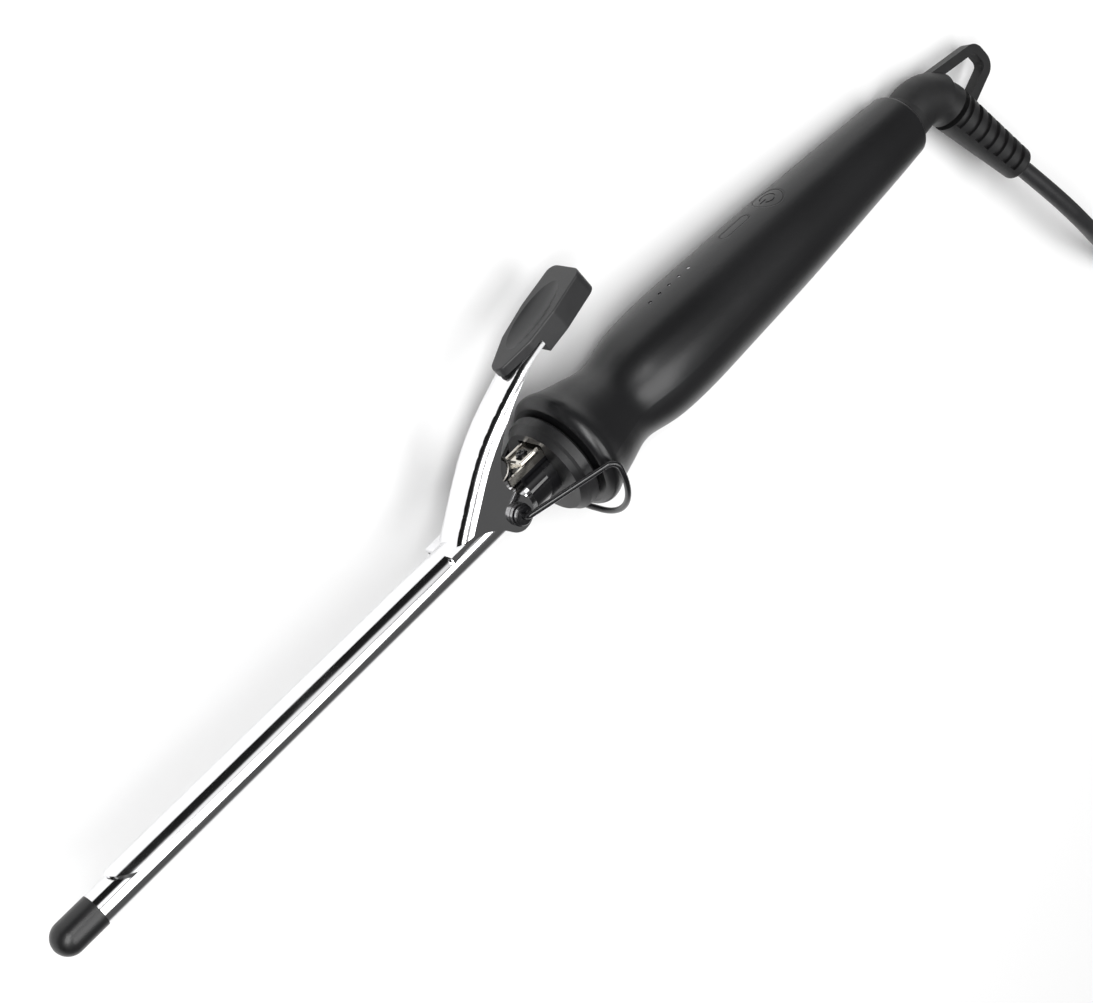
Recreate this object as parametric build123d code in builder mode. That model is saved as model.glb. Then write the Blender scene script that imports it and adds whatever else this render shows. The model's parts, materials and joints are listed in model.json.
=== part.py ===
from build123d import *
import os
from math import atan, cos, degrees, hypot, pi, radians, sin, sqrt, tan

# Slim curling iron: a 10 mm barrel with a sprung clamp, a wire stand, a two-shell handle with two
# buttons and five level lights, and a mains cord on a swivel. Every piece is drawn in the iron's own
# frame: X runs along the barrel from the cool tip to the cord, +Y is the lever side, +Z a flank.
# The last section lays the iron on its side, resting on its stand and the back of its handle.

os.makedirs("parts", exist_ok=True)
pieces = {}

# ---- driving dimensions, in millimetres ----
barrel_r, barrel_wall = 5.0, 0.6
tip_length = 14.8                      # bare length of the cool tip
barrel_end = 207.0                     # the tube ends inside the handle
pivot_x = 176.6                        # clamp and stand turn about Z here, at Y = 0
gap = 0.05                             # running clearance of turning and sliding fits

spoon_front, spoon_back = 22.0, 157.0
spoon_r, spoon_wall, spoon_wrap = 6.1, 0.8, 60.0   # outer radius, sheet, half angle round the barrel
arm_half, arm_sheet = 6.3, 0.9         # half width over the clamp's ears, and its sheet

collar_front, collar_r = 194.0, 16.4
lip_front, lip_x, lip_r = 201.3, 204.6, 19.9
handle_back, wall = 371.5, 2.2
sleeve_r = 6.7

elbow_x = 389.8                        # the cord's axis turns here
elbow_bend, elbow_roll = 66.0, 11.0    # degrees towards -Y, and degrees of that turn towards +Z
boot_r, boot_end_r = 8.3, 5.8
boot_length = 45.6                     # from the corner of the elbow to the cord's exit
cord_r = 3.0

stand_wire_r, stand_x, stand_reach = 0.95, 204.0, 22.9
rear_rest_x, rear_rest_r = 362.0, 11.99    # where the back of the handle touches the table


# ---- barrel, cool tip and what is inside the tube ----
with BuildPart() as cool_tip:
    with BuildSketch(Plane.XY):
        with BuildLine():
            CenterArc((barrel_r, 0), barrel_r, 90, 90)
            Polyline((0, 0), (tip_length + 6, 0), (tip_length + 6, 4.3), (tip_length, 4.3),
                     (tip_length, barrel_r), (barrel_r, barrel_r))
        make_face()
    revolve(axis=Axis.X)
pieces["cool_tip"] = cool_tip.part

with BuildPart() as barrel_tube:
    with BuildSketch(Plane.YZ.offset(tip_length)):
        Circle(barrel_r)
        Circle(barrel_r - barrel_wall, mode=Mode.SUBTRACT)
    extrude(amount=barrel_end - tip_length)
    with BuildSketch(Plane.XY.offset(-10)):
        with Locations((pivot_x, 0)):
            Circle(1.6)
    extrude(amount=20, mode=Mode.SUBTRACT)
pieces["barrel_tube"] = barrel_tube.part

with BuildPart() as heat_spreader:
    with BuildSketch(Plane.YZ.offset(26)):
        Circle(4.3)
        Circle(3.3, mode=Mode.SUBTRACT)
    extrude(amount=124)
pieces["heat_spreader"] = heat_spreader.part

with BuildPart() as ceramic_heater:
    with BuildSketch(Plane.YZ.offset(30)):
        Circle(3.2)
    extrude(amount=90)
pieces["ceramic_heater"] = ceramic_heater.part

with BuildPart() as temperature_sensor:
    with BuildSketch(Plane.YZ.offset(122)):
        Circle(1.6)
    extrude(amount=5)
    with BuildSketch(Plane.YZ.offset(127)):
        with Locations((0, 0.7), (0, -0.7)):
            Circle(0.35)
    extrude(amount=12)
pieces["temperature_sensor"] = temperature_sensor.part

with BuildPart() as pivot_core:                      # steel slug in the tube that takes both pivot screws
    with BuildSketch(Plane.YZ.offset(pivot_x - 6)):
        Circle(4.3)
        with Locations((2.4, 0), (-2.4, 0)):
            Circle(1.1, mode=Mode.SUBTRACT)
    extrude(amount=12)
    with BuildSketch(Plane.XY.offset(-6)):
        with Locations((pivot_x, 0)):
            Circle(1.25)
    extrude(amount=12, mode=Mode.SUBTRACT)
pieces["pivot_core"] = pivot_core.part

with BuildPart() as heater_leads:                    # two insulated wires from the heater to the board
    for side in (1, -1):
        with BuildLine() as run:
            FilletPolyline((142, 2.4 * side, 0), (208, 2.4 * side, 0), (222, 0, 4.7 * side),
                           (243, 0, 4.7 * side), (250, 3.4, 4.7 * side), radius=3)
        with BuildSketch(Plane(run.line @ 0, z_dir=run.line % 0)):
            Circle(0.7)
        sweep(path=run.line)
pieces["heater_leads"] = heater_leads.part

# ---- neck: sleeve, spring bracket and collar ----
saddle_top, bracket_sheet, bracket_half = 9.0, 0.8, 5.0
with BuildPart() as neck_sleeve:                     # gloss plastic, with a saddle for the bracket
    with BuildSketch(Plane.YZ.offset(183.5)):
        Circle(sleeve_r)
    extrude(amount=23.4)
    with Locations((190, saddle_top / 2, 0)):
        Box(13, saddle_top, 8.4)
    with BuildSketch(Plane.YZ.offset(184.3)):        # a rib along each side of the saddle
        for side in (1, -1):
            with Locations(Location((4.9, 4.9 * side, 0), (0, 0, 45 * side))):
                Rectangle(1.4, 1.2)
    extrude(amount=9.6)
    with BuildSketch(Plane.YZ.offset(204.9)):
        Circle(9.0)
    extrude(amount=2)
    with BuildSketch(Plane.YZ.offset(183)):
        Circle(barrel_r + 0.02)
    extrude(amount=30, mode=Mode.SUBTRACT)
    with BuildSketch(Plane.XZ.offset(-20)):
        with Locations((190, 0)):
            Circle(0.75)
    extrude(amount=14, mode=Mode.SUBTRACT)
pieces["neck_sleeve"] = neck_sleeve.part

spring_x, spring_y, eye_half = 178.9, 13.9, 0.8
with BuildPart() as spring_bracket:                  # nickel-plated pressing, screwed down through a slot
    with BuildSketch(Plane.YZ.offset(186.2)):        # floor, a ridge along each side and a skirt round the saddle
        with BuildLine():
            Polyline((saddle_top + bracket_sheet, 0), (9.8, 3.0), (10.4, 3.1), (10.7, 3.3), (10.7, 3.7),
                     (10.4, 3.9), (9.9, 4.1), (9.9, 4.7), (9.6, bracket_half), (7.4, bracket_half),
                     (7.4, 4.25), (saddle_top, 4.25), (saddle_top, 0))
            mirror(about=Plane.XZ)
        make_face()
    extrude(amount=10.8)
    with BuildSketch(Plane.YZ.offset(179.5)):        # its side rails run on under the spring
        with Locations((8.65, 4.6), (8.65, -4.6)):
            Rectangle(2.5, 0.8)
    extrude(amount=7)
    with BuildSketch(Plane.XY.offset(-eye_half)):    # tongue that rises to the eye for the spring's pin
        with BuildLine():
            Polyline((187, saddle_top), (185.2, saddle_top), (spring_x, spring_y - 1.6),
                     (spring_x + 1.5, spring_y - 0.4), (185.9, 9.8), (187, 9.8), close=True)
        make_face()
        with Locations((spring_x, spring_y)):
            Circle(1.65)
            Circle(1.05, mode=Mode.SUBTRACT)
    extrude(amount=2 * eye_half)
    with BuildSketch(Plane.XZ.offset(-20)):
        with Locations((190, 0)):
            SlotOverall(4.4, 2.0)
    extrude(amount=14, mode=Mode.SUBTRACT)
pieces["spring_bracket"] = spring_bracket.part


def screw(x, seat, tip, direction, head_r, head_h, shank_r):
    """A pan-head screw along Y: its head sits on Y = seat and its shank ends at Y = tip."""
    with BuildPart() as made:
        with BuildSketch(Plane.XY):
            with BuildLine():
                top = seat + direction * head_h
                Polyline((x, tip), (x + shank_r, tip), (x + shank_r, seat), (x + head_r, seat),
                         (x + head_r, top - direction * 0.4), (x + head_r - 0.4, top), (x, top), close=True)
            make_face()
        revolve(axis=Axis((x, 0, 0), (0, 1, 0)))
        for turn in (45, 135):                       # the cross recess
            with Locations(Location((x, top, 0), (0, turn, 0))):
                Box(1.3 * head_r, 1.0, 0.5, mode=Mode.SUBTRACT)
    return made.part


pieces["bracket_screw"] = screw(190, saddle_top + bracket_sheet, 6.9, 1, 1.7, 1.1, 0.72)

coil_r, coil_wire, coil_pitch, coil_long = 4.1, 0.38, 0.85, 2.125
coil_in = eye_half + coil_wire + 0.05                # first turn of each half, beside the eye
with BuildPart() as spring_pin:                      # pin in the eye, with a bushing inside each half
    with BuildSketch(Plane.XY.offset(-coil_in - coil_long - 0.4)):
        with Locations((spring_x, spring_y)):
            Circle(1.0)
    extrude(amount=2 * (coil_in + coil_long + 0.4))
    for start in (eye_half + 0.1, -coil_in - coil_long - 0.2):
        with BuildSketch(Plane.XY.offset(start)):
            with Locations((spring_x, spring_y)):
                Circle(3.2)
        extrude(amount=coil_in + coil_long + 0.2 - eye_half - 0.1)
pieces["spring_pin"] = spring_pin.part

with BuildPart() as clamp_spring:                    # double torsion spring that holds the clamp shut
    for side in (1, -1):
        near, far = coil_in * side, (coil_in + coil_long) * side
        with BuildLine(Plane(origin=(spring_x, spring_y, min(near, far)), x_dir=(side, 0, 0),
                             z_dir=(0, 0, 1))) as winding:
            Helix(coil_pitch, coil_long, coil_r)
        with BuildSketch(Plane(winding.line @ 0, z_dir=winding.line % 0)):
            Circle(coil_wire)
        sweep(path=winding.line, is_frenet=True)
        for foot, reach in (((spring_x - coil_r, spring_y, far), (0.3, 3.4)),
                            ((spring_x + coil_r, spring_y, near), (3.3, -3.5))):
            with BuildSketch(Plane(foot, z_dir=(*reach, 0))):
                Circle(coil_wire - 0.02)
            extrude(amount=hypot(*reach))
pieces["clamp_spring"] = clamp_spring.part

with BuildPart() as collar:                          # heat-proof ring between the neck and the handle
    with BuildSketch(Plane.XY):
        with BuildLine():
            Polyline((collar_front, 0), (collar_front, 14.0), (collar_front + 1.6, 15.3),
                     (collar_front + 2.4, collar_r - 0.3), (collar_front + 5.2, collar_r),
                     (collar_front + 6.0, collar_r - 0.6), (collar_front + 6.0, 15.0), (lip_front - 0.5, 12.0),
                     (203.6, 12.0), (203.6, 14.0), (205.6, 14.0), (205.6, 11.0), (204.7, 11.0), (204.7, 0),
                     close=True)
        make_face()
    revolve(axis=Axis.X)
    with BuildSketch(Plane.YZ.offset(190)):
        Circle(sleeve_r + 0.03)
    extrude(amount=20, mode=Mode.SUBTRACT)
    with BuildSketch(Plane.YZ.offset(190)):          # clearance for the saddle and the bracket
        with Locations((saddle_top - 2, 0)):
            Rectangle(8.4, 2 * bracket_half + 0.4)
    extrude(amount=8, mode=Mode.SUBTRACT)
pieces["collar"] = collar.part

# ---- pivot screws: the ears turn on their shoulders, and the stand plugs into their heads ----
with BuildPart() as pivot_screws:
    for side in (1, -1):
        with BuildSketch(Plane.XY):
            with BuildLine():
                Polyline((pivot_x, 2.2), (pivot_x + 1.2, 2.2), (pivot_x + 1.2, 5.06), (pivot_x + 2.4, 5.06),
                         (pivot_x + 2.4, 6.42), (pivot_x + 3.5, 6.42), (pivot_x + 3.5, 7.4),
                         (pivot_x + 2.7, 7.5), (pivot_x + 2.7, 7.8), (pivot_x + 3.1, 7.9),
                         (pivot_x + 3.1, 8.7), (pivot_x + 2.8, 9.0), (pivot_x + 1.05, 9.0),
                         (pivot_x + 1.05, 6.0), (pivot_x, 6.0), close=True)
            section = make_face()
        turned = section.face().rotate(Axis.X, 90 * side)
        add(Solid.revolve(turned, 360, Axis((pivot_x, 0, 0), (0, 0, 1))))
        for turn in (20, 110):                       # the cross recess round the stand's hole
            with Locations(Location((pivot_x, 0, 9.0 * side), (0, 0, turn))):
                Box(4.4, 0.8, 1.0, mode=Mode.SUBTRACT)
pieces["pivot_screws"] = pivot_screws.part

# ---- clamp: chrome spoon, arm and two ears in one pressing ----
arm_top = [(154.6, 5.4), (163, 13.0), (169, 18.2), (175, 22.8), (182, 27.0), (190, 30.8), (198, 34.1), (206, 36.8)]
arm_tip = (227.5, 42.1)
lobe_r = 5.5
lobe_in = (pivot_x + lobe_r * cos(radians(33)), lobe_r * sin(radians(33)))
lobe_low = (pivot_x + lobe_r * cos(radians(-52)), lobe_r * sin(radians(-52)))
lobe_out = (pivot_x + lobe_r * cos(radians(-137)), lobe_r * sin(radians(-137)))
arm_bend = 4.0                                       # outer radius of the channel's two shoulders


def arm_block(drop, half, bend):
    """Solid under the arm's back, lowered by drop, with rounded shoulders: the channel's outside or its hollow."""
    back = [(x + 0.45 * drop, y - drop) for x, y in arm_top]
    with BuildPart() as block:
        with BuildSketch(Plane.XY):
            with BuildLine():
                Spline(*back, tangents=((0.72, 0.69), (0.97, 0.243)))
                Polyline(back[-1], (arm_tip[0] + 2, arm_tip[1] + 0.5 - drop), (arm_tip[0] + 2, -12), (147, -12),
                         (147, back[0][1]), back[0])
            make_face()
        extrude(amount=half, both=True)
        fillet(block.edges().filter_by(lambda e: abs(abs((e @ 0.5).Z) - half) < 0.01 and (e @ 0.5).Y > 8), bend)
    return block.part


with BuildPart() as clamp:
    add(arm_block(0, arm_half, arm_bend))
    add(arm_block(arm_sheet, arm_half - arm_sheet, arm_bend - arm_sheet), mode=Mode.SUBTRACT)
    with BuildSketch(Plane.XY):                      # the ears' outline, seen from the side
        with BuildLine():
            Polyline((151, 3.1), (151, 50), (arm_tip[0], 50), arm_tip, (228.3, 38.9), (206, 34.7))
            Spline((206, 34.7), (194, 29.4), (186.3, 24.5), (180.6, 18.8), (177.4, 12.6), (178.8, 6.6))
            Line((178.8, 6.6), lobe_in)
            ThreePointArc(lobe_in, lobe_low, lobe_out)
            Spline(lobe_out, (169.9, -0.6), (166.3, 2.1), (163.2, 3.6), (158.5, 3.95), (151, 3.1),
                   tangents=((-0.684, 0.73), (-1, -0.2)))
        make_face()
    extrude(amount=10, both=True, mode=Mode.INTERSECT)
    with BuildSketch(Plane.YZ.offset(spoon_back - 8)):
        Circle(spoon_r - spoon_wall)
    extrude(amount=60, mode=Mode.SUBTRACT)
    with BuildSketch(Plane.YZ.offset(spoon_front)):    # spoon that lies over the barrel
        Circle(spoon_r)
        Circle(spoon_r - spoon_wall, mode=Mode.SUBTRACT)
        with BuildLine():
            Polyline((0, 0), (20, 20 * tan(radians(spoon_wrap))), (20, -20 * tan(radians(spoon_wrap))), close=True)
        make_face(mode=Mode.INTERSECT)
    extrude(amount=spoon_back - spoon_front)
    with BuildSketch(Plane.XZ):                      # its rounded front end
        with Locations((spoon_front + 10, 0)):
            Ellipse(10, 5.6)
        with Locations((spoon_front + 135, 0)):
            Rectangle(250, 16)
    extrude(amount=60, both=True, mode=Mode.INTERSECT)
    with BuildSketch(Plane.XY.offset(-10)):
        with Locations((pivot_x, 0)):
            Circle(2.4 + gap)
    extrude(amount=20, mode=Mode.SUBTRACT)
pieces["clamp"] = clamp.part

pad_front, pad_slope, pad_depth, pad_plate = 195.3, 13.9, 8.2, 3.05
pad_length, pad_half = 38.4, 7.3
pad_plane = Plane(origin=(pad_front, 37.4, 0), x_dir=(cos(radians(pad_slope)), sin(radians(pad_slope)), 0),
                  z_dir=(-sin(radians(pad_slope)), cos(radians(pad_slope)), 0))
dish_mid, dish_deep, dish_half, dish_long = 20.2, 1.6, 5.2, 12.6
across_r = (dish_half ** 2 + dish_deep ** 2) / (2 * dish_deep)   # curvature of the dish across and along
along_r = (dish_long ** 2 + dish_deep ** 2) / (2 * dish_deep)
dish_end = 14.0
dish_plane = Plane(origin=pad_plane.from_local_coords((dish_mid, 0, across_r - dish_deep)),
                   x_dir=pad_plane.x_dir, z_dir=(0, 0, 1))
with BuildPart() as thumb_pad:
    with BuildSketch(pad_plane):                     # narrow rounded tip, full middle, blunt back
        for centre, r in (((3.1, 0), 3.1), ((12.6, 0), 6.3), ((23, 0), pad_half), ((pad_length - 3.2, 3.6), 3.2),
                          ((pad_length - 3.2, -3.6), 3.2)):
            with Locations(centre):
                Circle(r)
        make_hull()
    extrude(amount=-pad_depth)
    fillet(thumb_pad.faces().sort_by(Axis.Y)[-1].edges(), 0.5)
    with Locations(pad_plane):                       # the block under the plate stops short of the front
        with Locations((7.2, 0, -pad_plate - 5)):
            Box(14.4, 20, 10, mode=Mode.SUBTRACT)
    with BuildSketch(dish_plane):                    # thumb dish, turned about a line above the pad
        with BuildLine():
            end_r = across_r - along_r + sqrt(along_r ** 2 - dish_end ** 2)
            ThreePointArc((-dish_end, end_r), (0, across_r), (dish_end, end_r))
            Polyline((dish_end, end_r), (dish_end, 0), (-dish_end, 0), (-dish_end, end_r))
        make_face()
    revolve(axis=Axis(dish_plane.origin, dish_plane.x_dir), mode=Mode.SUBTRACT)
    add(clamp.part, mode=Mode.SUBTRACT)              # the slot that the arm is pressed into
pieces["thumb_pad"] = thumb_pad.part

# ---- wire stand: one bent wire, a foot in each pivot screw, its crossbar behind the collar's lip ----
with BuildPart() as wire_stand:
    corner = 21.0
    with BuildLine() as bent:
        FilletPolyline((pivot_x, 0, 6.3), (pivot_x, 0, 10.4), (stand_x, 1.5, stand_reach),
                       (stand_x, -stand_reach, stand_reach), (stand_x, -stand_reach, -stand_reach),
                       (stand_x, 1.5, -stand_reach), (pivot_x, 0, -10.4), (pivot_x, 0, -6.3),
                       radius=[1.3, 3.2, corner, corner, 3.2, 1.3])
    with BuildSketch(Plane(bent.line @ 0, z_dir=bent.line % 0)):
        Circle(stand_wire_r)
    sweep(path=bent.line)
pieces["wire_stand"] = wire_stand.part


# ---- handle: two shells that meet on the plane Y = 0 ----
def grip_line(inset):
    """Half profile of the grip, from behind its front lip to its back, moved in by inset."""
    stations = [(208.3, 18.75), (216, 16.5), (225.5, 14.35), (236, 16.1), (246, 17.15), (272, 16.75),
                (306, 15.4), (340, 13.4), (handle_back, 11.25)]
    return [(x, r - inset) for x, r in stations]


def handle_half(side):
    """The hollow shell on one side of Y = 0, before its holes and posts."""
    outer, inner = grip_line(0), grip_line(wall)
    with BuildPart() as half:
        with BuildSketch(Plane.XY):
            with BuildLine():
                Line((lip_front, 12.1), (lip_front, 17.6))
                ThreePointArc((lip_front, 17.6), (202.2, 19.0), (lip_x, lip_r))
                Spline((lip_x, lip_r), *outer, tangents=((1, -0.05), (1, -0.085)))
                Polyline(outer[-1], (handle_back, 8.6), (handle_back - 3, 8.6), (handle_back - 3, inner[-1][1] + 0.26))
                Spline((handle_back - 3, inner[-1][1] + 0.26), *reversed(inner[1:-1]), (208, 15.2),
                       tangents=((-1, 0.085), (-1, 0.25)))
                Polyline((208, 15.2), (206, 15.2), (206, 14.15), (203.5, 14.15), (203.5, 12.1), (lip_front, 12.1))
            make_face()
        revolve(axis=Axis.X)
        fillet(half.edges().filter_by(GeomType.CIRCLE).filter_by(
            lambda e: abs((e @ 0).X - handle_back) < 0.01 and e.radius > 10), 1.2)
        split(bisect_by=Plane.XZ, keep=Keep.BOTTOM if side > 0 else Keep.TOP)
    return half.part


screw_x, screw_seat = (236.0, 336.0), (-10.0, -8.0)  # the two shell screws, driven from below
light_x = [253.5 + 4.5 * i for i in range(5)]
power_x, power_r = 309.9, 4.9
mode_x, mode_long, mode_wide = 293.7, 12.6, 3.0
fit = 0.12                                           # round the buttons

with BuildPart() as handle_upper_shell:
    add(handle_half(1))
    for x in screw_x:                                # posts that the screws bite into
        with BuildSketch(Plane.XZ.offset(-0.3)):
            with Locations((x, 0)):
                Circle(2.6)
        extrude(until=Until.NEXT, dir=(0, 1, 0))
        with BuildSketch(Plane.XZ.offset(0)):
            with Locations((x, 0)):
                Circle(1.08)
        extrude(amount=-7, mode=Mode.SUBTRACT)
    with BuildSketch(Plane.XZ.offset(-8)):           # holes for the lights and the two buttons
        with Locations(*[(x, 0) for x in light_x]):
            Circle(0.62)
        with Locations((power_x, 0)):
            Circle(power_r + fit)
        with Locations((mode_x, 0)):
            SlotOverall(mode_long + 2 * fit, mode_wide + 2 * fit)
    extrude(amount=-14, mode=Mode.SUBTRACT)
pieces["handle_upper_shell"] = handle_upper_shell.part

with BuildPart() as handle_lower_shell:
    add(handle_half(-1))
    for x, seat in zip(screw_x, screw_seat):
        with BuildSketch(Plane.XZ.offset(0.3)):
            with Locations((x, 0)):
                Circle(3.6)
        extrude(until=Until.NEXT, dir=(0, -1, 0))
        with BuildSketch(Plane.XZ):
            with Locations((x, 0)):
                Circle(1.3)
        extrude(amount=20, mode=Mode.SUBTRACT)
        with BuildSketch(Plane.XZ.offset(-seat)):
            with Locations((x, 0)):
                Circle(2.5)
        extrude(amount=20, mode=Mode.SUBTRACT)
pieces["handle_lower_shell"] = handle_lower_shell.part

with BuildPart() as shell_screws:                    # self-tapping, heads down in the lower shell
    for x, seat in zip(screw_x, screw_seat):
        add(screw(x, seat, 5.6, -1, 2.3, 1.4, 1.0))
pieces["shell_screws"] = shell_screws.part

# ---- board, lights, switches and buttons ----
board_top, board_sheet = 6.6, 1.6
with BuildPart() as circuit_board:
    with BuildSketch(Plane.XZ.offset(-board_top)):
        with Locations((288, 0)):
            RectangleRounded(84, 17, 1.5)
    extrude(amount=board_sheet)
pieces["circuit_board"] = circuit_board.part

with BuildPart() as board_parts:                     # drive stage and smoothing parts under the board
    for x, long, deep, wide in ((262, 13, 6.5, 11), (283, 10, 5, 8), (300, 7, 4, 12)):
        with Locations((x, board_top - board_sheet - deep / 2, 0)):
            Box(long, deep, wide)
    with BuildSketch(Plane.XZ.offset(-board_top + board_sheet)):
        with Locations((316, 0)):
            Circle(4.0)
    extrude(amount=9)
pieces["board_parts"] = board_parts.part

with BuildPart() as level_leds:
    with Locations(*[(x, board_top + 0.5, 0) for x in light_x]):
        Box(2.0, 1.0, 1.2)
pieces["level_leds"] = level_leds.part

with BuildPart() as light_guide:                     # clear bar with five pins that end in the shell
    with Locations((light_x[2], 13.9, 0)):
        Box(22.5, 1.2, 2.2)
    for x in light_x:
        with BuildSketch(Plane.XZ.offset(-board_top - 1.3)):
            with Locations((x, 0)):
                Circle(0.55)
        extrude(amount=-(8.93 - 0.016 * (x - light_x[0])))
pieces["light_guide"] = light_guide.part

switch_xs, switch_tip, press = (mode_x, power_x), 8.9, 0.6
with BuildPart() as push_switches:
    for x in switch_xs:
        with Locations((x, board_top + 0.8, 0)):
            Box(4.5, 1.6, 4.5)
        with BuildSketch(Plane.XZ.offset(-board_top)):
            with Locations((x, 0)):
                Circle(1.0)
        extrude(amount=board_top - switch_tip)
pieces["push_switches"] = push_switches.part

with BuildPart() as grip_form:                       # the grip as one solid, to shape the button caps
    with BuildSketch(Plane.XY):
        with BuildLine():
            Spline(*grip_line(0.06), tangents=((1, -0.25), (1, -0.085)))
            Polyline((handle_back, grip_line(0.06)[-1][1]), (handle_back, 0), (208.3, 0), grip_line(0.06)[0])
        make_face()
    revolve(axis=Axis.X)

with BuildPart() as power_button:
    with BuildSketch(Plane.XZ.offset(-10.3)):
        with Locations((power_x, 0)):
            Circle(power_r)
    extrude(amount=-8)
    add(grip_form.part, mode=Mode.INTERSECT)
    with BuildSketch(Plane.XZ.offset(-10.3)):        # flange that keeps it in, and the stem
        with Locations((power_x, 0)):
            Circle(power_r + 0.9)
    extrude(amount=-1.1)
    with BuildSketch(Plane.XZ.offset(-switch_tip - press - 0.1)):
        with Locations((power_x, 0)):
            Circle(1.6)
    extrude(amount=-1)
    with BuildSketch(Plane.XZ.offset(-14.75)):       # sunk power sign: an open ring and a bar
        with Locations((power_x, 0)):
            Circle(2.75)
            Circle(2.25, mode=Mode.SUBTRACT)
        with Locations((power_x - 3, 0)):
            Rectangle(3, 2.4, mode=Mode.SUBTRACT)
        with Locations((power_x - 2.2, 0)):
            Rectangle(2.8, 0.5)
    extrude(amount=-3, mode=Mode.SUBTRACT)
pieces["power_button"] = power_button.part

with BuildPart() as level_button:
    with BuildSketch(Plane.XZ.offset(-12.1)):
        with Locations((mode_x, 0)):
            SlotOverall(mode_long, mode_wide)
    extrude(amount=-8)
    add(grip_form.part, mode=Mode.INTERSECT)
    with BuildSketch(Plane.XZ.offset(-12.1)):
        with Locations((mode_x, 0)):
            SlotOverall(mode_long + 1.6, mode_wide + 1.6)
    extrude(amount=-1.1)
    with BuildSketch(Plane.XZ.offset(-switch_tip - press - 0.1)):
        with Locations((mode_x, 0)):
            Circle(1.3)
    extrude(amount=-3)
pieces["level_button"] = level_button.part

# ---- swivel: contacts fixed in the handle, rings and spindle that turn with the cord ----
ring_x, ring_wide, spindle_r, ring_r, flange_x = (350.5, 357.5), 3.0, 4.3, 5.6, 364.2
with BuildPart() as contact_carrier:
    with BuildSketch(Plane.YZ.offset(347.5)):
        Circle(9.2)
        Circle(7.4, mode=Mode.SUBTRACT)
        with BuildLine():
            Polyline((0, 0), (-20, 24), (-20, -24), close=True)
        make_face(mode=Mode.INTERSECT)
    extrude(amount=14)
pieces["contact_carrier"] = contact_carrier.part

with BuildPart() as contact_leaves:
    for x in ring_x:
        with BuildSketch(Plane.YZ.offset(x - 1.2)):
            Circle(6.0)
            Circle(ring_r + gap, mode=Mode.SUBTRACT)
            with BuildLine():
                Polyline((0, 0), (-20, 14), (-20, -14), close=True)
            make_face(mode=Mode.INTERSECT)
            with Locations((-6.6, 0)):
                Rectangle(1.5, 1.6)
        extrude(amount=2.4)
pieces["contact_leaves"] = contact_leaves.part

with BuildPart() as mains_leads:                     # from the board round the rear post to the contacts
    for side in (1, -1):
        with BuildLine() as run:
            FilletPolyline((325, 4.2, 4 * side), (333, 4.2, 5.3 * side), (341, -6.4, 5.3 * side),
                           (347.4, -6.4, 5.3 * side), radius=2.5)
        with BuildSketch(Plane(run.line @ 0, z_dir=run.line % 0)):
            Circle(0.7)
        sweep(path=run.line)
pieces["mains_leads"] = mains_leads.part

with BuildPart() as swivel_spindle:
    with BuildSketch(Plane.XY):
        with BuildLine():
            Polyline((346.4, 1.8), (346.4, 5.0), (348.6, 5.0), (348.6, spindle_r), (362, spindle_r),
                     (flange_x, 6.5), (flange_x, 8.9), (flange_x + 3, 8.9), (flange_x + 3, spindle_r),
                     (376, spindle_r), (376, 1.8), close=True)
        make_face()
    revolve(axis=Axis.X)
pieces["swivel_spindle"] = swivel_spindle.part

with BuildPart() as slip_rings:
    for x in ring_x:
        with BuildSketch(Plane.YZ.offset(x - ring_wide / 2)):
            Circle(ring_r)
            Circle(spindle_r + 0.02, mode=Mode.SUBTRACT)
        extrude(amount=ring_wide)
pieces["slip_rings"] = slip_rings.part

# ---- boot: collar, elbow, ribbed strain relief and hanging loop in one rubber moulding ----
sideways = Vector(0, -cos(radians(elbow_roll)), sin(radians(elbow_roll)))
bend = radians(elbow_bend)
cord_dir = Vector(1, 0, 0) * cos(bend) + sideways * sin(bend)
outward = Vector(1, 0, 0) * sin(bend) - sideways * cos(bend)
elbow_plane = Plane(origin=(0, 0, 0), x_dir=(1, 0, 0), z_dir=Vector(1, 0, 0).cross(sideways))
elbow_r, elbow_tube = 13.0, 7.8
elbow_leg = elbow_r * tan(bend / 2)
groove_from, groove_pitch, grooves, groove_wide, groove_deep = 12.3, 4.75, 7, 2.1, 1.5


def along_boot(t):
    """The plane across the ribbed part, t from the corner of the elbow."""
    return Plane(origin=Vector(elbow_x, 0, 0) + cord_dir * t, x_dir=outward, z_dir=cord_dir)


def relief_r(t):
    """Outer radius of the ribbed part, which tapers to the cord's exit."""
    return elbow_tube - (elbow_tube - boot_end_r) * (t - elbow_leg) / (boot_length - elbow_leg)


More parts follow.
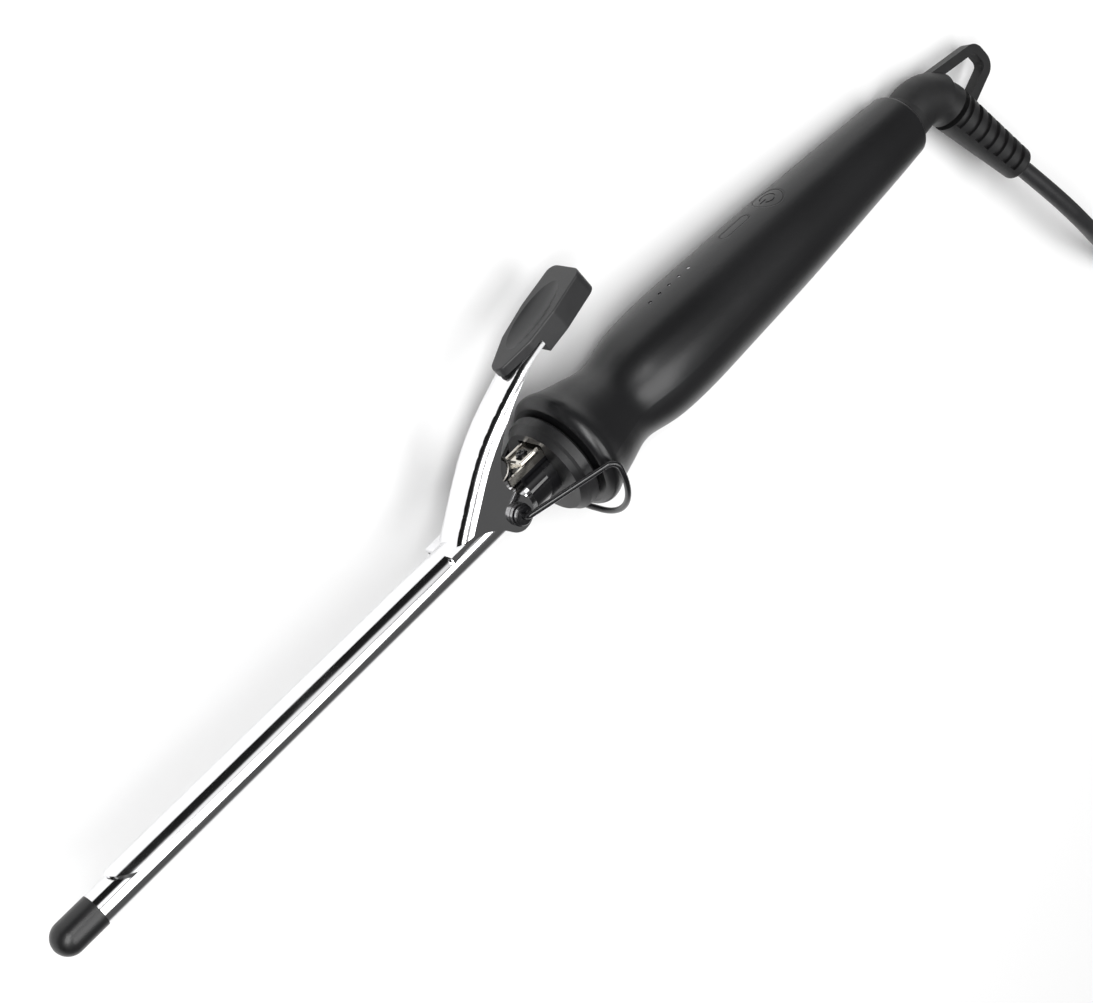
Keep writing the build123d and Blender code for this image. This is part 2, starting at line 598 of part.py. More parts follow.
with BuildPart() as swivel_boot:
    with BuildSketch(Plane.YZ.offset(flange_x + 3)):
        Circle(boot_r)
    extrude(amount=9)
    with BuildSketch(Plane.YZ.offset(flange_x + 12)) as root_end:
        Circle(boot_r)
    with BuildSketch(Plane.YZ.offset(elbow_x - elbow_leg)) as elbow_start:
        Circle(elbow_tube)
    loft(sections=[root_end.sketch, elbow_start.sketch])
    with BuildLine(elbow_plane) as turn_line:
        RadiusArc((elbow_x - elbow_leg, 0), (elbow_x + elbow_leg * cos(bend), elbow_leg * sin(bend)), -elbow_r)
    with BuildSketch(Plane.YZ.offset(elbow_x - elbow_leg)):
        Circle(elbow_tube)
    sweep(path=turn_line.line)
    with BuildSketch(along_boot(elbow_leg)) as relief_start:
        Circle(elbow_tube)
    with BuildSketch(along_boot(boot_length)) as relief_end:
        Circle(boot_end_r)
    loft(sections=[relief_start.sketch, relief_end.sketch])
    fillet(swivel_boot.edges().group_by(Axis(along_boot(0).origin, cord_dir))[-1], 1.2)
    for i in range(grooves):                         # the grooves leave a spine on the inside of the bend
        t = groove_from + groove_pitch * i
        with BuildSketch(along_boot(t - groove_wide / 2)):
            Circle(relief_r(t) + 2)
            Circle(relief_r(t) - groove_deep, mode=Mode.SUBTRACT)
            with BuildLine():
                Polyline((0, 0), (-30, 22), (-30, -22), close=True)
            make_face(mode=Mode.SUBTRACT)
        extrude(amount=groove_wide, mode=Mode.SUBTRACT)
    with BuildSketch(elbow_plane):                   # hanging loop, a flat band in the plane of the elbow
        with BuildLine():
            FilletPolyline((392.0, -4.6), (413.9, -2.0), (416.0, 6.2), (402.6, 11.3), radius=3.6)
        trace(line_width=3.2)
    extrude(amount=2.3, both=True)
    with BuildSketch(Plane.YZ.offset(flange_x)):
        Circle(spindle_r + 0.02)
    extrude(amount=12, mode=Mode.SUBTRACT)
    with BuildSketch(Plane.YZ.offset(flange_x - 2)):
        Circle(20)
    extrude(amount=5, mode=Mode.SUBTRACT)
pieces["swivel_boot"] = swivel_boot.part

# ---- mains cord, in the resting frame: tube, coil of the put-away length, tail and plug ----
coil_x, coil_y, coil_mid_r, coil_spread = 299.0, -110.0, 36.0, 15.2
layer = 6.1                                          # from turn to turn, and from layer to layer
cord_points = [(199.82, -42.61, 16.42), (208.19, -60.55, 19.29), (217.0, -79.0, 19.0), (228.0, -97.0, 12.4),
               (242.0, -117.0, 5.4), (251.5, -128.6, 3.2), (262.0, -141.0, 3.0)]
tail_points = [(323.1, -151.74, 9.1), (340.4, -141.74, 8.6), (355.0, -129.2, 5.0), (364.2, -111.6, 3.1),
               (367.6, -93.0, 4.4), (368.3, -77.0, 6.85), (368.6, -63.0, 6.85)]
relief_long, plug_long, plug_wide, plug_thick = 30.0, 36.0, 35.3, 13.7
pin_r, pin_long, pin_apart, pin_root_r = 2.0, 19.0, 18.6, 1.6


def corner_radii(points):
    """The arc at each corner of a cord's route: 0.45 of its shorter run over the tangent of half the turn."""
    runs = [Vector(b) - Vector(a) for a, b in zip(points, points[1:])]
    return [0.45 * min(one.length, two.length) / tan(radians(one.get_angle(two)) / 2)
            for one, two in zip(runs, runs[1:])]


def cord_tube(points):
    """A round cord along the route, as straight runs joined by tangent arcs."""
    with BuildPart() as tube:
        with BuildLine() as route:
            FilletPolyline(*points, radius=corner_radii(points))
        with BuildSketch(Plane(route.line @ 0, z_dir=route.line % 0)):
            Circle(cord_r)
        sweep(path=route.line)
    long = sum(edge.length for edge in route.line.edges())
    print("cord radii", [round(r, 1) for r in corner_radii(points)], "length", round(long, 1),
          "volume over section x length", round(tube.part.volume / (pi * cord_r ** 2 * long), 4))
    return tube.part


resting = {"cord": cord_tube(cord_points), "cord_tail": cord_tube(tail_points)}

with BuildPart() as cord_coil:                       # the outer shape of five turns in two layers
    with BuildSketch(Plane(origin=(coil_x, coil_y, 0), x_dir=(1, 0, 0), z_dir=(0, -1, 0))):
        with Locations((coil_mid_r, cord_r + layer / 2)):
            RectangleRounded(2 * coil_spread, 2 * cord_r + layer, 2.9)
    revolve(axis=Axis((coil_x, coil_y, 0), (0, 0, 1)))
resting["cord_coil"] = cord_coil.part

tie_angle, tie_wide, tie_sheet = 100.0, 12.0, 1.0
across_coil = Plane(origin=(coil_x, coil_y, 0), x_dir=(cos(radians(tie_angle)), sin(radians(tie_angle)), 0),
                    z_dir=(sin(radians(tie_angle)), -cos(radians(tie_angle)), 0))
with BuildPart() as cord_tie:                        # strap round all the turns
    with BuildSketch(across_coil):
        with Locations((coil_mid_r, cord_r + layer / 2 + tie_sheet)):
            RectangleRounded(2 * (coil_spread + tie_sheet), 2 * cord_r + layer + 2 * tie_sheet, 3.8)
            RectangleRounded(2 * coil_spread, 2 * cord_r + layer, 2.8, mode=Mode.SUBTRACT)
    extrude(amount=tie_wide / 2, both=True)
resting["cord_tie"] = cord_tie.part

plug_dir = (Vector(tail_points[-1]) - Vector(tail_points[-2])).normalized()


def along_plug(t):
    """The plane across the plug, t from the start of its strain relief."""
    return Plane(origin=Vector(tail_points[-1]) + plug_dir * t, x_dir=plug_dir.cross(Vector(0, 0, 1)), z_dir=plug_dir)


with BuildPart() as plug_relief:
    with BuildSketch(along_plug(0)):
        Circle(4.0)
    with BuildSketch(along_plug(relief_long)):
        Circle(5.4)
    loft()
    for i in range(5):                               # grooves that let it bend
        with BuildSketch(along_plug(4 + 4.6 * i)):
            Circle(7)
            Circle(3.5 + 0.2 * i, mode=Mode.SUBTRACT)
            Rectangle(2.2, 14, mode=Mode.SUBTRACT)
        extrude(amount=1.8, mode=Mode.SUBTRACT)
resting["plug_relief"] = plug_relief.part

with BuildPart() as plug_body:
    with BuildSketch(along_plug(relief_long)):
        RectangleRounded(16, 12.4, 5.5)
    with BuildSketch(along_plug(relief_long + 13)):
        RectangleRounded(33.4, plug_thick, 6.7)
    loft()
    with BuildSketch(along_plug(relief_long + 13)):
        RectangleRounded(plug_wide - 1.9, plug_thick, 6.7)
    with BuildSketch(along_plug(relief_long + plug_long)):
        RectangleRounded(plug_wide, plug_thick, 6.7)
    loft()
    fillet(plug_body.edges().group_by(Axis(tail_points[-1], tuple(plug_dir)))[-1], 1.0)
    with BuildSketch(along_plug(relief_long + plug_long)):
        with Locations((pin_apart / 2, 0), (-pin_apart / 2, 0)):
            Circle(pin_root_r + 0.01)
    extrude(amount=-10, mode=Mode.SUBTRACT)
resting["plug_body"] = plug_body.part

with BuildPart() as plug_pins:
    with BuildSketch(along_plug(relief_long + plug_long - 10)):
        with Locations((pin_apart / 2, 0), (-pin_apart / 2, 0)):
            Circle(pin_root_r)
    extrude(amount=10.3)
    with BuildSketch(along_plug(relief_long + plug_long + 0.3)):
        with Locations((pin_apart / 2, 0), (-pin_apart / 2, 0)):
            Circle(pin_r)
    extrude(amount=pin_long - 0.3)
    fillet(plug_pins.edges().group_by(Axis(tail_points[-1], tuple(plug_dir)))[-1], 1.2)
resting["plug_pins"] = plug_pins.part

# ---- resting pose: on the stand's lower leg and the lower edge of the handle's back ----
drop = stand_reach + stand_wire_r - rear_rest_r
lean = Rot(0, degrees(atan(drop / (rear_rest_x - stand_x))), 0)
leaned = Compound([lean * piece for piece in pieces.values()]).bounding_box()
rest = Pos(-leaned.center().X, -leaned.center().Y, -leaned.min.Z) * lean
resting.update({name: rest * piece for name, piece in pieces.items()})
for name, piece in resting.items():
    piece.label = name
    export_step(piece, f"parts/{name}.step")
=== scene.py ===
import bpy
import json
from math import atan, cos, exp, pi, radians, sin
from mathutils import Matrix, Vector

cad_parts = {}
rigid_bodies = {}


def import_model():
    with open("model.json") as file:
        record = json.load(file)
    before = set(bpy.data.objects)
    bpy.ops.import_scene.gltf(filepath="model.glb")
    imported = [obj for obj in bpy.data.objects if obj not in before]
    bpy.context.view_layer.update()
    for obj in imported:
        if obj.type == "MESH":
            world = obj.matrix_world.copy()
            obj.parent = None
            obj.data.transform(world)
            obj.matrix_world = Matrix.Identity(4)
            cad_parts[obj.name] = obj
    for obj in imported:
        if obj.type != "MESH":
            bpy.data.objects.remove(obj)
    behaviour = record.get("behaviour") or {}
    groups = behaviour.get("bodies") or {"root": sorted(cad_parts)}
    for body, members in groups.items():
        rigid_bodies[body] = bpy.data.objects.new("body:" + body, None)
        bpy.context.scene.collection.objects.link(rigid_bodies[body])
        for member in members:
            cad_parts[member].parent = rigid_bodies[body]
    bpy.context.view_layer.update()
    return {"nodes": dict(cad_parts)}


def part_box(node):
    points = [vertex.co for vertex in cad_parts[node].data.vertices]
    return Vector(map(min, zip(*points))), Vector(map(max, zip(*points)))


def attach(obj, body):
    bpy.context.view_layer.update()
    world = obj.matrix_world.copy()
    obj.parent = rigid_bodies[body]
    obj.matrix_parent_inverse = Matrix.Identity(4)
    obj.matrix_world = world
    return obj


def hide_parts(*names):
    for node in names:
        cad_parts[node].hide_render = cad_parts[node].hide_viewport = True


# A slim curling iron, put together from the tip of its barrel to the plug on its cord. It lies on its
# side on a pale table: +X runs along the iron from tip to cord, +Y is the side of the thumb pad, +Z up.
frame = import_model()
nodes = frame["nodes"]
for part in bpy.data.objects:
    part.select_set(False)


# ---- Camera ----
# A long lens looks down on the iron from beside its tip, so that it crosses the view from corner to corner.
bpy.ops.object.camera_add(
    location=(-0.24438, 0.33423, 0.52560),
    rotation=(radians(-16.511), radians(-36.315), radians(-30.144)),
)
camera = bpy.context.object
camera.data.lens = 72.46
camera.data.sensor_width = 36.0
camera.data.clip_start = 0.01
bpy.context.scene.camera = camera
bpy.context.scene.view_settings.view_transform = "Standard"


# ---- Mains cord ----
# A round two-core lead with a smooth black sheath. It leaves the boot, falls to the table, is wound into
# a flat coil of two layers for storage, and ends in its plug.
route = [(0.19982, -0.04261, 0.01642), (0.20819, -0.06055, 0.01929), (0.2170, -0.0790, 0.0190),
         (0.2280, -0.0970, 0.0124), (0.2420, -0.1170, 0.0054), (0.2515, -0.1286, 0.0032)]
tail = [(0.3404, -0.14174, 0.0086), (0.3550, -0.1292, 0.0050), (0.3642, -0.1116, 0.0031),
        (0.3676, -0.0930, 0.0044), (0.3683, -0.0770, 0.00685), (0.3686, -0.0630, 0.00685)]
cord_r = 0.003
coil_centre, coil_out, turn_pitch = Vector((0.299, -0.110, 0)), 0.0482, 0.0061
coil_start, coil_sweep = radians(220), radians(3320)
tie_angle, tie_lift, tie_spread = radians(100), 0.001, 0.09
climb_tuck = 0.0008
per_turn = 16
# Four turns inward on the table, half a turn that climbs, four turns outward on top, and a last stretch.
inward, rising, outward, last = 4 * per_turn, per_turn // 2, 4 * per_turn, 10
step = coil_sweep / (inward + rising + outward + last + 1)
for i in range(inward + rising + outward + last + 2):
    angle = coil_start + step * (i - 0.5)
    turned_in = min(i, inward) / per_turn
    turned_out = max(0, min(i - inward - rising, outward)) / per_turn
    risen = max(0.0, min((i - inward) / rising, 1.0))
    radius = coil_out - turn_pitch * (turned_in - turned_out) - climb_tuck * sin(pi * risen)
    radius /= cos(pi / per_turn)
    from_tie = (angle - tie_angle + pi) % (2 * pi) - pi
    height = cord_r + turn_pitch * risen + tie_lift * exp(-from_tie ** 2 / tie_spread)
    route.append(tuple(coil_centre + Vector((radius * cos(angle), radius * sin(angle), height))))
route += tail
cord_curve = bpy.data.curves.new("mains_cord", "CURVE")
cord_curve.dimensions = "3D"
line = cord_curve.splines.new("NURBS")
line.points.add(len(route) - 1)
for point, spot in zip(line.points, route):
    point.co = (*spot, 1)
line.order_u = 3
line.use_endpoint_u = True
line.resolution_u = 6
cord_curve.bevel_depth = cord_r
cord_curve.bevel_resolution = 6
cord_curve.use_fill_caps = True
mains_cord = bpy.data.objects.new("mains_cord", cord_curve)
bpy.context.scene.collection.objects.link(mains_cord)


class Wire:
    """A socket in a material. Sums on it add Math nodes, and node() adds any other node."""

    def __init__(self, tree, socket=None):
        self.tree = tree
        self.socket = socket

    def node(self, kind, settings, values, out=0):
        made = self.tree.nodes.new("ShaderNode" + kind)
        for name, setting in settings.items():
            setattr(made, name, setting)
        for name, value in values.items():
            if isinstance(value, Wire):
                self.tree.links.new(value.socket, made.inputs[name])
            else:
                made.inputs[name].default_value = value
        return Wire(self.tree, made.outputs[out])

    def sum(self, operation, one, two=0):
        return self.node("Math", {"operation": operation}, {0: one, 1: two})

    def __add__(self, other):
        return self.sum("ADD", self, other)

    def __sub__(self, other):
        return self.sum("SUBTRACT", self, other)

    def __rsub__(self, other):
        return self.sum("SUBTRACT", other, self)

    def __mul__(self, other):
        return self.sum("MULTIPLY", self, other)

    __radd__, __rmul__ = __add__, __mul__


def new_finish(name):
    """An empty material: itself, the place on the piece as a Wire, and the Principled shader's inputs."""
    finish = bpy.data.materials.new(name)
    finish.use_nodes = True
    place = Wire(finish.node_tree).node("TexCoord", {}, {}, out="Object")
    return finish, place, finish.node_tree.nodes["Principled BSDF"].inputs


def feed(inputs, **wires):
    """Joins wires to the shader's inputs: Base_Color stands for Base Color."""
    for name, wire in wires.items():
        wire.tree.links.new(wire.socket, inputs[name.replace("_", " ")])


def noise(place, scale, detail=2.0, rough=0.5):
    """Soft cloudy noise from 0 to 1, scale cells to the metre."""
    return place.node("TexNoise", {},
                      {"Vector": place, "Scale": scale, "Detail": detail, "Roughness": rough})


def shades(mask, one, two):
    """The colour one where the mask is 0, and two where it is 1."""
    return mask.node("Mix", {"data_type": "RGBA"}, {0: mask, 6: (*one, 1), 7: (*two, 1)}, out=2)


def relief(height, depth):
    """Bumps of this depth in metres."""
    return height.node("Bump", {}, {"Strength": 1.0, "Distance": depth, "Height": height})


def coat(finish, *names):
    """Gives CAD nodes their finish."""
    for name in names:
        nodes[name].data.materials.clear()
        nodes[name].data.materials.append(finish)


# Extruded sheath: faint die lines, scuffs and a dull waxy shine.
cord_sheath, place, inputs = new_finish("cord_sheath")
scuffs = noise(place, 140, 4)
pores = noise(place, 3200)
feed(inputs, Base_Color=shades(scuffs, (0.011, 0.011, 0.012), (0.024, 0.024, 0.025)),
     Roughness=0.34 + scuffs * 0.2, Normal=relief(pores + scuffs, 0.00004))
inputs["Specular IOR Level"].default_value = 0.45
mains_cord.data.materials.append(cord_sheath)
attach(mains_cord, "cord_side")
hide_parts("cord", "cord_coil", "cord_tail")


# ---- Table and studio light ----
# A wide white table in a studio: a large soft box over the camera's side, a dark gap under it down to the
# horizon, a dim wall on the far side and a pale ceiling.
bpy.ops.mesh.primitive_plane_add(size=40.0, location=(0, 0, -0.0001))
table = bpy.context.object
table.name = "table_top"
table_paint, place, inputs = new_finish("pale_table")
feed(inputs, Base_Color=shades(noise(place, 3), (0.87, 0.87, 0.87), (0.90, 0.90, 0.90)))
inputs["Roughness"].default_value = 0.9
inputs["Specular IOR Level"].default_value = 0.1
table.data.materials.append(table_paint)

world = bpy.data.worlds.new("studio")
bpy.context.scene.world = world
world.use_nodes = True
sky = Wire(world.node_tree).node("TexCoord", {}, {}, out="Generated")
east = sky.node("SeparateXYZ", {}, {"Vector": sky}, out="X")
north = sky.node("SeparateXYZ", {}, {"Vector": sky}, out="Y")
up = sky.node("SeparateXYZ", {}, {"Vector": sky}, out="Z")
north_share, west_share = 0.774, 0.633               # where the camera's side of the table lies
toward = north * north_share - east * west_share


def rise(value, start, end):
    """0 below start, 1 above end, and smooth between."""
    return value.node("MapRange", {"interpolation_type": "SMOOTHSTEP"},
                      {"Value": value, "From Min": start, "From Max": end})


dark_gap, box_glow, ceiling_drop = 0.012, 1.0, 0.55
wall_foot, wall_drop, ceiling_gain = 0.35, 0.26, 0.3
near_side = dark_gap + rise(up, 0.58, 0.7) * box_glow - rise(up, 0.8, 0.93) * ceiling_drop
far_side = wall_foot - rise(up, 0.05, 0.3) * wall_drop + rise(up, 0.8, 0.95) * ceiling_gain
across = rise(toward, -0.2, 0.3)
level = far_side + (near_side - far_side) * across
world.node_tree.links.new(level.socket, world.node_tree.nodes["Background"].inputs["Strength"])
world.node_tree.nodes["Background"].inputs["Color"].default_value = (1, 1, 1, 1)

for name, hung_at, wide, long, power in (
    ("long_soft_box", (-0.46, 0.56, 1.1), 0.42, 1.3, 13),
    ("top_soft_box", (0.25, -0.1, 1.4), 0.8, 1.1, 11),
):
    bpy.ops.object.light_add(type="AREA", location=hung_at)
    lamp = bpy.context.object
    lamp.name = name
    lamp.data.shape = "RECTANGLE"
    lamp.data.size = long
    lamp.data.size_y = wide
    lamp.data.energy = power
    lamp.rotation_euler = (-Vector(hung_at)).to_track_quat("-Z", "Y").to_euler()


# ---- Cool tip ----
# A solid plug of heat-proof plastic in the open end of the barrel, with a rounded nose. Fine spark grain
# from its mould, a little polished where fingers hold it.
tip_finish, place, inputs = new_finish("heat_proof_plastic")
held = noise(place, 90, 3)
grain = noise(place, 2600, 2)
feed(inputs, Base_Color=shades(held, (0.006, 0.006, 0.0065), (0.012, 0.012, 0.0125)),
     Roughness=0.27 + held * 0.16, Normal=relief(grain, 0.00003))
coat(tip_finish, "cool_tip")


# ---- Barrel ----
# Drawn tube, ground and chrome plated. The last polish ran round the tube, so its faint lines do too.
# The iron leans by the difference between its two feet, in millimetres: the stand's wire, and the lower
# edge of the back of the handle.
stand_reach, stand_wire_r, stand_x = 22.9, 0.95, 204.0
back_r, back_x = 11.99, 362.0
lean = atan((stand_reach + stand_wire_r - back_r) / (back_x - stand_x))


def stretched(place, scale, turn=0.0):
    """The place scaled along X, Y and Z, which draws noise out into lines, then turned as a whole."""
    return place.node("Mapping", {}, {"Vector": place, "Rotation": (0, lean, turn), "Scale": scale})


chrome_tube, place, inputs = new_finish("chrome_barrel")
rings = noise(stretched(place, (3000, 60, 60)), 1.0, 3)
smears = noise(place, 35, 4)
feed(inputs, Base_Color=shades(smears, (0.84, 0.84, 0.85), (0.90, 0.90, 0.91)),
     Roughness=0.06 + rings * 0.05 + rise(smears, 0.5, 0.75) * 0.05, Normal=relief(rings, 0.0000012))
inputs["Metallic"].default_value = 1.0
coat(chrome_tube, "barrel_tube")


# ---- Heater and leads ----
# A white ceramic rod heater in an aluminium spreader, its sensor behind it, and glass-sleeved leads that
# run back to the board, as do the mains leads. A steel slug in the tube takes the two pivot screws, and
# the handle's two screws are the same steel.
ceramic_finish, place, inputs = new_finish("glazed_ceramic")
speckle = noise(place, 1800, 3)
feed(inputs, Base_Color=shades(speckle, (0.78, 0.76, 0.71), (0.86, 0.84, 0.80)),
     Roughness=0.25 + speckle * 0.2)
coat(ceramic_finish, "ceramic_heater", "temperature_sensor")

spreader_finish, place, inputs = new_finish("drawn_aluminium")
drawn = noise(stretched(place, (40, 2500, 2500)), 1, 2)
feed(inputs, Base_Color=shades(drawn, (0.66, 0.67, 0.68), (0.78, 0.79, 0.80)), Roughness=0.28 + drawn * 0.2)
inputs["Metallic"].default_value = 1.0
coat(spreader_finish, "heat_spreader")

turned_steel, place, inputs = new_finish("turned_steel")
turned = noise(place, 1500, 3)
feed(inputs, Base_Color=shades(turned, (0.50, 0.51, 0.53), (0.62, 0.63, 0.65)),
     Roughness=0.24 + turned * 0.22)
inputs["Metallic"].default_value = 1.0
coat(turned_steel, "pivot_core", "shell_screws")

lead_finish, place, inputs = new_finish("glass_sleeve")
braid = place.node("TexWave", {"wave_type": "BANDS", "bands_direction": "DIAGONAL"},
                   {"Vector": place, "Scale": 900, "Distortion": 1.5})
feed(inputs, Base_Color=shades(braid, (0.58, 0.56, 0.50), (0.78, 0.76, 0.70)), Normal=relief(braid, 0.0001))
inputs["Roughness"].default_value = 0.75
coat(lead_finish, "heater_leads", "mains_leads")


# ---- Neck sleeve ----
# Gloss black moulding over the end of the tube, polished like a mirror and marked by fine hairlines.
sleeve_finish, place, inputs = new_finish("gloss_neck")
hairlines = noise(stretched(place, (60, 1800, 900), turn=0.3), 1, 3)
feed(inputs, Base_Color=shades(hairlines, (0.006, 0.006, 0.007), (0.011, 0.011, 0.012)),
     Roughness=0.06 + rise(hairlines, 0.5, 0.8) * 0.12)
inputs["Coat Weight"].default_value = 0.4
inputs["Coat Roughness"].default_value = 0.04
coat(sleeve_finish, "neck_sleeve")


# ---- Spring bracket, spring and screw ----
# A nickel-plated pressing screwed down on the sleeve's saddle. Its tongue carries a pin, and on the pin a
# double torsion spring pushes the lever away from the handle. The plug's pins have the same plating, and
# the pivot screws and the stand are blackened like the bracket's screw.
nickel_plate, place, inputs = new_finish("nickel_plate")
pressed = noise(place, 700, 4)
feed(inputs, Base_Color=shades(pressed, (0.74, 0.70, 0.63), (0.86, 0.83, 0.77)),
     Roughness=0.10 + pressed * 0.14, Normal=relief(pressed, 0.000012))
inputs["Metallic"].default_value = 1.0
coat(nickel_plate, "spring_bracket", "plug_pins")

spring_wire, place, inputs = new_finish("oiled_spring_wire")
oil = noise(place, 900, 3)
feed(inputs, Base_Color=shades(oil, (0.16, 0.15, 0.14), (0.36, 0.35, 0.33)), Roughness=0.18 + oil * 0.2)
inputs["Metallic"].default_value = 1.0
coat(spring_wire, "clamp_spring")

black_steel, place, inputs = new_finish("blackened_steel")
worn = noise(place, 420, 5, 0.6)
feed(inputs, Base_Color=shades(rise(worn, 0.55, 0.8), (0.006, 0.006, 0.007), (0.03, 0.03, 0.032)),
     Roughness=0.14 + worn * 0.22, Normal=relief(worn, 0.00001))
inputs["Coat Weight"].default_value = 0.25
inputs["Coat Roughness"].default_value = 0.12
coat(black_steel, "bracket_screw", "pivot_screws", "wire_stand")


# ---- Collar ----
# Heat-proof ring between the hot neck and the handle, like the tip's plastic with a finer face. The
# swivel's carrier and spindle inside the handle are moulded in it too.
collar_finish, place, inputs = new_finish("collar_plastic")
powder = noise(place, 3800, 2)
patches = noise(place, 60, 3)
feed(inputs, Base_Color=shades(patches, (0.008, 0.008, 0.0085), (0.014, 0.014, 0.015)),
     Roughness=0.36 + patches * 0.14, Normal=relief(powder, 0.000025))
coat(collar_finish, "collar", "contact_carrier", "swivel_spindle")


# ---- Clamp ----
# Spoon, arm and ears are one pressing of thin steel, polished along its length and chrome plated.
clamp_chrome, place, inputs = new_finish("chrome_clamp")
strokes = noise(stretched(place, (30, 2200, 2200)), 1, 3)
prints = noise(place, 48, 5)
feed(inputs, Base_Color=shades(prints, (0.83, 0.83, 0.84), (0.90, 0.90, 0.91)),
     Roughness=0.07 + strokes * 0.05 + rise(prints, 0.52, 0.75) * 0.06, Normal=relief(strokes, 0.0000010))
inputs["Metallic"].default_value = 1.0
coat(clamp_chrome, "clamp")


# ---- Thumb pad ----
# Dark grey plastic pressed over the end of the arm, with a smooth dish for the thumb. The dish has
# been rubbed a little brighter than the rest.
pad_finish, place, inputs = new_finish("thumb_pad_plastic")
rubbed = noise(place, 120, 4)
grain = noise(place, 3000, 2)
feed(inputs, Base_Color=shades(rubbed, (0.020, 0.020, 0.021), (0.032, 0.032, 0.033)),
     Roughness=0.30 + rubbed * 0.12, Normal=relief(grain, 0.00002))
coat(pad_finish, "thumb_pad")


# ---- Handle ----
# Two hollow shells of charcoal plastic that meet on a fine seam, sprayed with a satin soft-touch paint.
# Skin oil leaves the middle of the grip slightly shinier than its ends.
def groove(place, button, half_long, half_wide, width):
    """1 in a narrow groove round a button's cap: half_long is half its straight middle."""
    inner_edge, outer_edge = 0.0001, 0.0002
    low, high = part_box(button)
    east = place.node("SeparateXYZ", {}, {"Vector": place}, out="X") - (low[0] + high[0]) / 2
    up = place.node("SeparateXYZ", {}, {"Vector": place}, out="Z") - (low[2] + high[2]) / 2
    along = east * cos(lean) - up * sin(lean)
    across = east * sin(lean) + up * cos(lean)
    beyond = along.sum("ABSOLUTE", along) - half_long
    past = beyond.sum("MAXIMUM", beyond)
    away = past.sum("SQRT", past * past + across * across)
    outside = half_wide + width
    return rise(away, half_wide, half_wide + inner_edge) - rise(away, outside, outside + outer_edge)


grip_finish, place, inputs = new_finish("soft_touch_grip")
oily = noise(place, 26, 4)
velvet = noise(place, 4200, 2)
round_groove = groove(place, "power_button", 0, 0.0050, 0.0004)
grooves = round_groove + groove(place, "level_button", 0.0048, 0.0016, 0.0003)
facing = place.node("SeparateXYZ", {}, {"Vector": place}, out="Y")
grooves = grooves * rise(facing, 0.004, 0.006)
feed(inputs, Base_Color=shades(oily, (0.006, 0.006, 0.0065), (0.010, 0.010, 0.011)),
     Roughness=0.29 + oily * 0.1, Normal=relief(velvet * 0.06 - grooves, 0.0003))
coat(grip_finish, "handle_upper_shell", "handle_lower_shell")


# ---- Circuit board and its parts ----
# Green laminate across the handle with the drive parts under it and switches and lights on top. The
# spring's bushings are moulded in the same black plastic as the parts' cases.
board_finish, place, inputs = new_finish("solder_mask")
tracks = noise(place, 260, 1)
feed(inputs, Base_Color=shades(rise(tracks, 0.48, 0.54), (0.012, 0.10, 0.045), (0.03, 0.19, 0.09)))
inputs["Roughness"].default_value = 0.3
coat(board_finish, "circuit_board")

part_finish, place, inputs = new_finish("moulded_parts")
matt = noise(place, 2500, 2)
feed(inputs, Base_Color=shades(matt, (0.012, 0.012, 0.012), (0.03, 0.03, 0.03)),
     Roughness=0.45 + matt * 0.2)
coat(part_finish, "board_parts", "push_switches", "spring_pin")

led_finish, place, inputs = new_finish("led_case")
cases = noise(place, 2000, 1)
feed(inputs, Base_Color=shades(cases, (0.78, 0.77, 0.70), (0.88, 0.87, 0.82)))
inputs["Roughness"].default_value = 0.35
coat(led_finish, "level_leds")


# ---- Level lights ----
# A clear bar under the shell with five frosted pins, which show as a row of small grey dots.
lens_finish, place, inputs = new_finish("frosted_lens")
frost = noise(place, 3000, 2)
feed(inputs, Base_Color=shades(frost, (0.62, 0.62, 0.64), (0.78, 0.78, 0.80)), Roughness=0.3 + frost * 0.2)
coat(lens_finish, "light_guide")


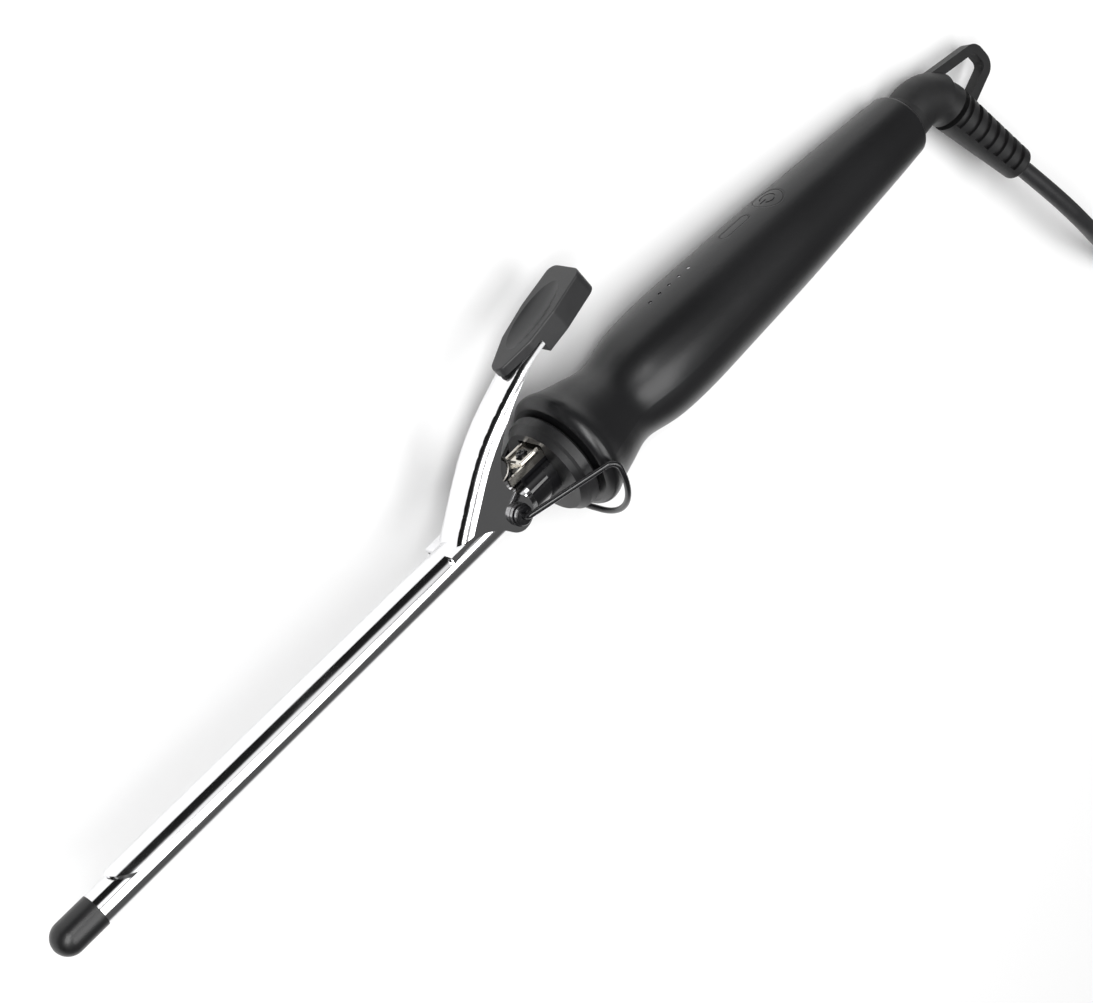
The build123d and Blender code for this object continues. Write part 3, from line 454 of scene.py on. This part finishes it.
# ---- Buttons ----
# Two caps nearly the handle's own colour in a smoother finish: a long one that steps the level and a
# round one with a sunk power sign.
button_finish, place, inputs = new_finish("button_cap")
touched = noise(place, 300, 3)
feed(inputs, Base_Color=shades(touched, (0.009, 0.009, 0.0095), (0.015, 0.015, 0.016)),
     Roughness=0.26 + touched * 0.12)
coat(button_finish, "power_button", "level_button")


# ---- Slip rings and contacts ----
# Brass rings on the spindle and sprung brass leaves that rub on them, tarnished between the tracks.
contact_finish, place, inputs = new_finish("contact_brass")
tarnish = noise(place, 800, 4)
feed(inputs, Base_Color=shades(tarnish, (0.52, 0.36, 0.14), (0.78, 0.60, 0.30)),
     Roughness=0.2 + tarnish * 0.25)
inputs["Metallic"].default_value = 1.0
coat(contact_finish, "slip_rings", "contact_leaves")


# ---- Swivel boot ----
# One soft rubber moulding: collar, elbow, ribbed strain relief and hanging loop. Its skin is matt with a
# dusty bloom in the grooves.
boot_finish, place, inputs = new_finish("boot_rubber")
bloom = noise(place, 220, 4)
skin = noise(place, 2800, 3)
feed(inputs, Base_Color=shades(bloom, (0.006, 0.006, 0.0065), (0.013, 0.013, 0.0135)),
     Roughness=0.42 + bloom * 0.2, Normal=relief(skin, 0.00003))
coat(boot_finish, "swivel_boot")


# ---- Cord tie ----
# A band of hook-and-loop tape round all the turns, its loops a short dark pile. Its colour carries painted
# shade: lighter on the loop tops and darker in the hollows between them.
tape_finish, place, inputs = new_finish("looped_tape")
pile_and_painted_shade = place.node("TexVoronoi", {"feature": "F1"}, {"Vector": place, "Scale": 1600}, out="Distance")
# Painted shade: the colour follows the loops' height, darker down in the hollows between the loops.
feed(inputs, Base_Color=shades(pile_and_painted_shade, (0.030, 0.030, 0.032), (0.010, 0.010, 0.011)),
     Normal=relief(1 - pile_and_painted_shade, 0.0003))
inputs["Roughness"].default_value = 0.92
inputs["Sheen Weight"].default_value = 0.25
coat(tape_finish, "cord_tie")


# ---- Plug ----
# Black plastic moulded straight on to the cord, with a ribbed relief behind it and two nickel pins.
plug_finish, place, inputs = new_finish("plug_plastic")
mould = noise(place, 1900, 3)
soft = noise(place, 110, 3)
feed(inputs, Base_Color=shades(soft, (0.011, 0.011, 0.012), (0.022, 0.022, 0.023)),
     Roughness=0.38 + soft * 0.16, Normal=relief(mould, 0.00003))
coat(plug_finish, "plug_body", "plug_relief")


bpy.context.view_layer.update()
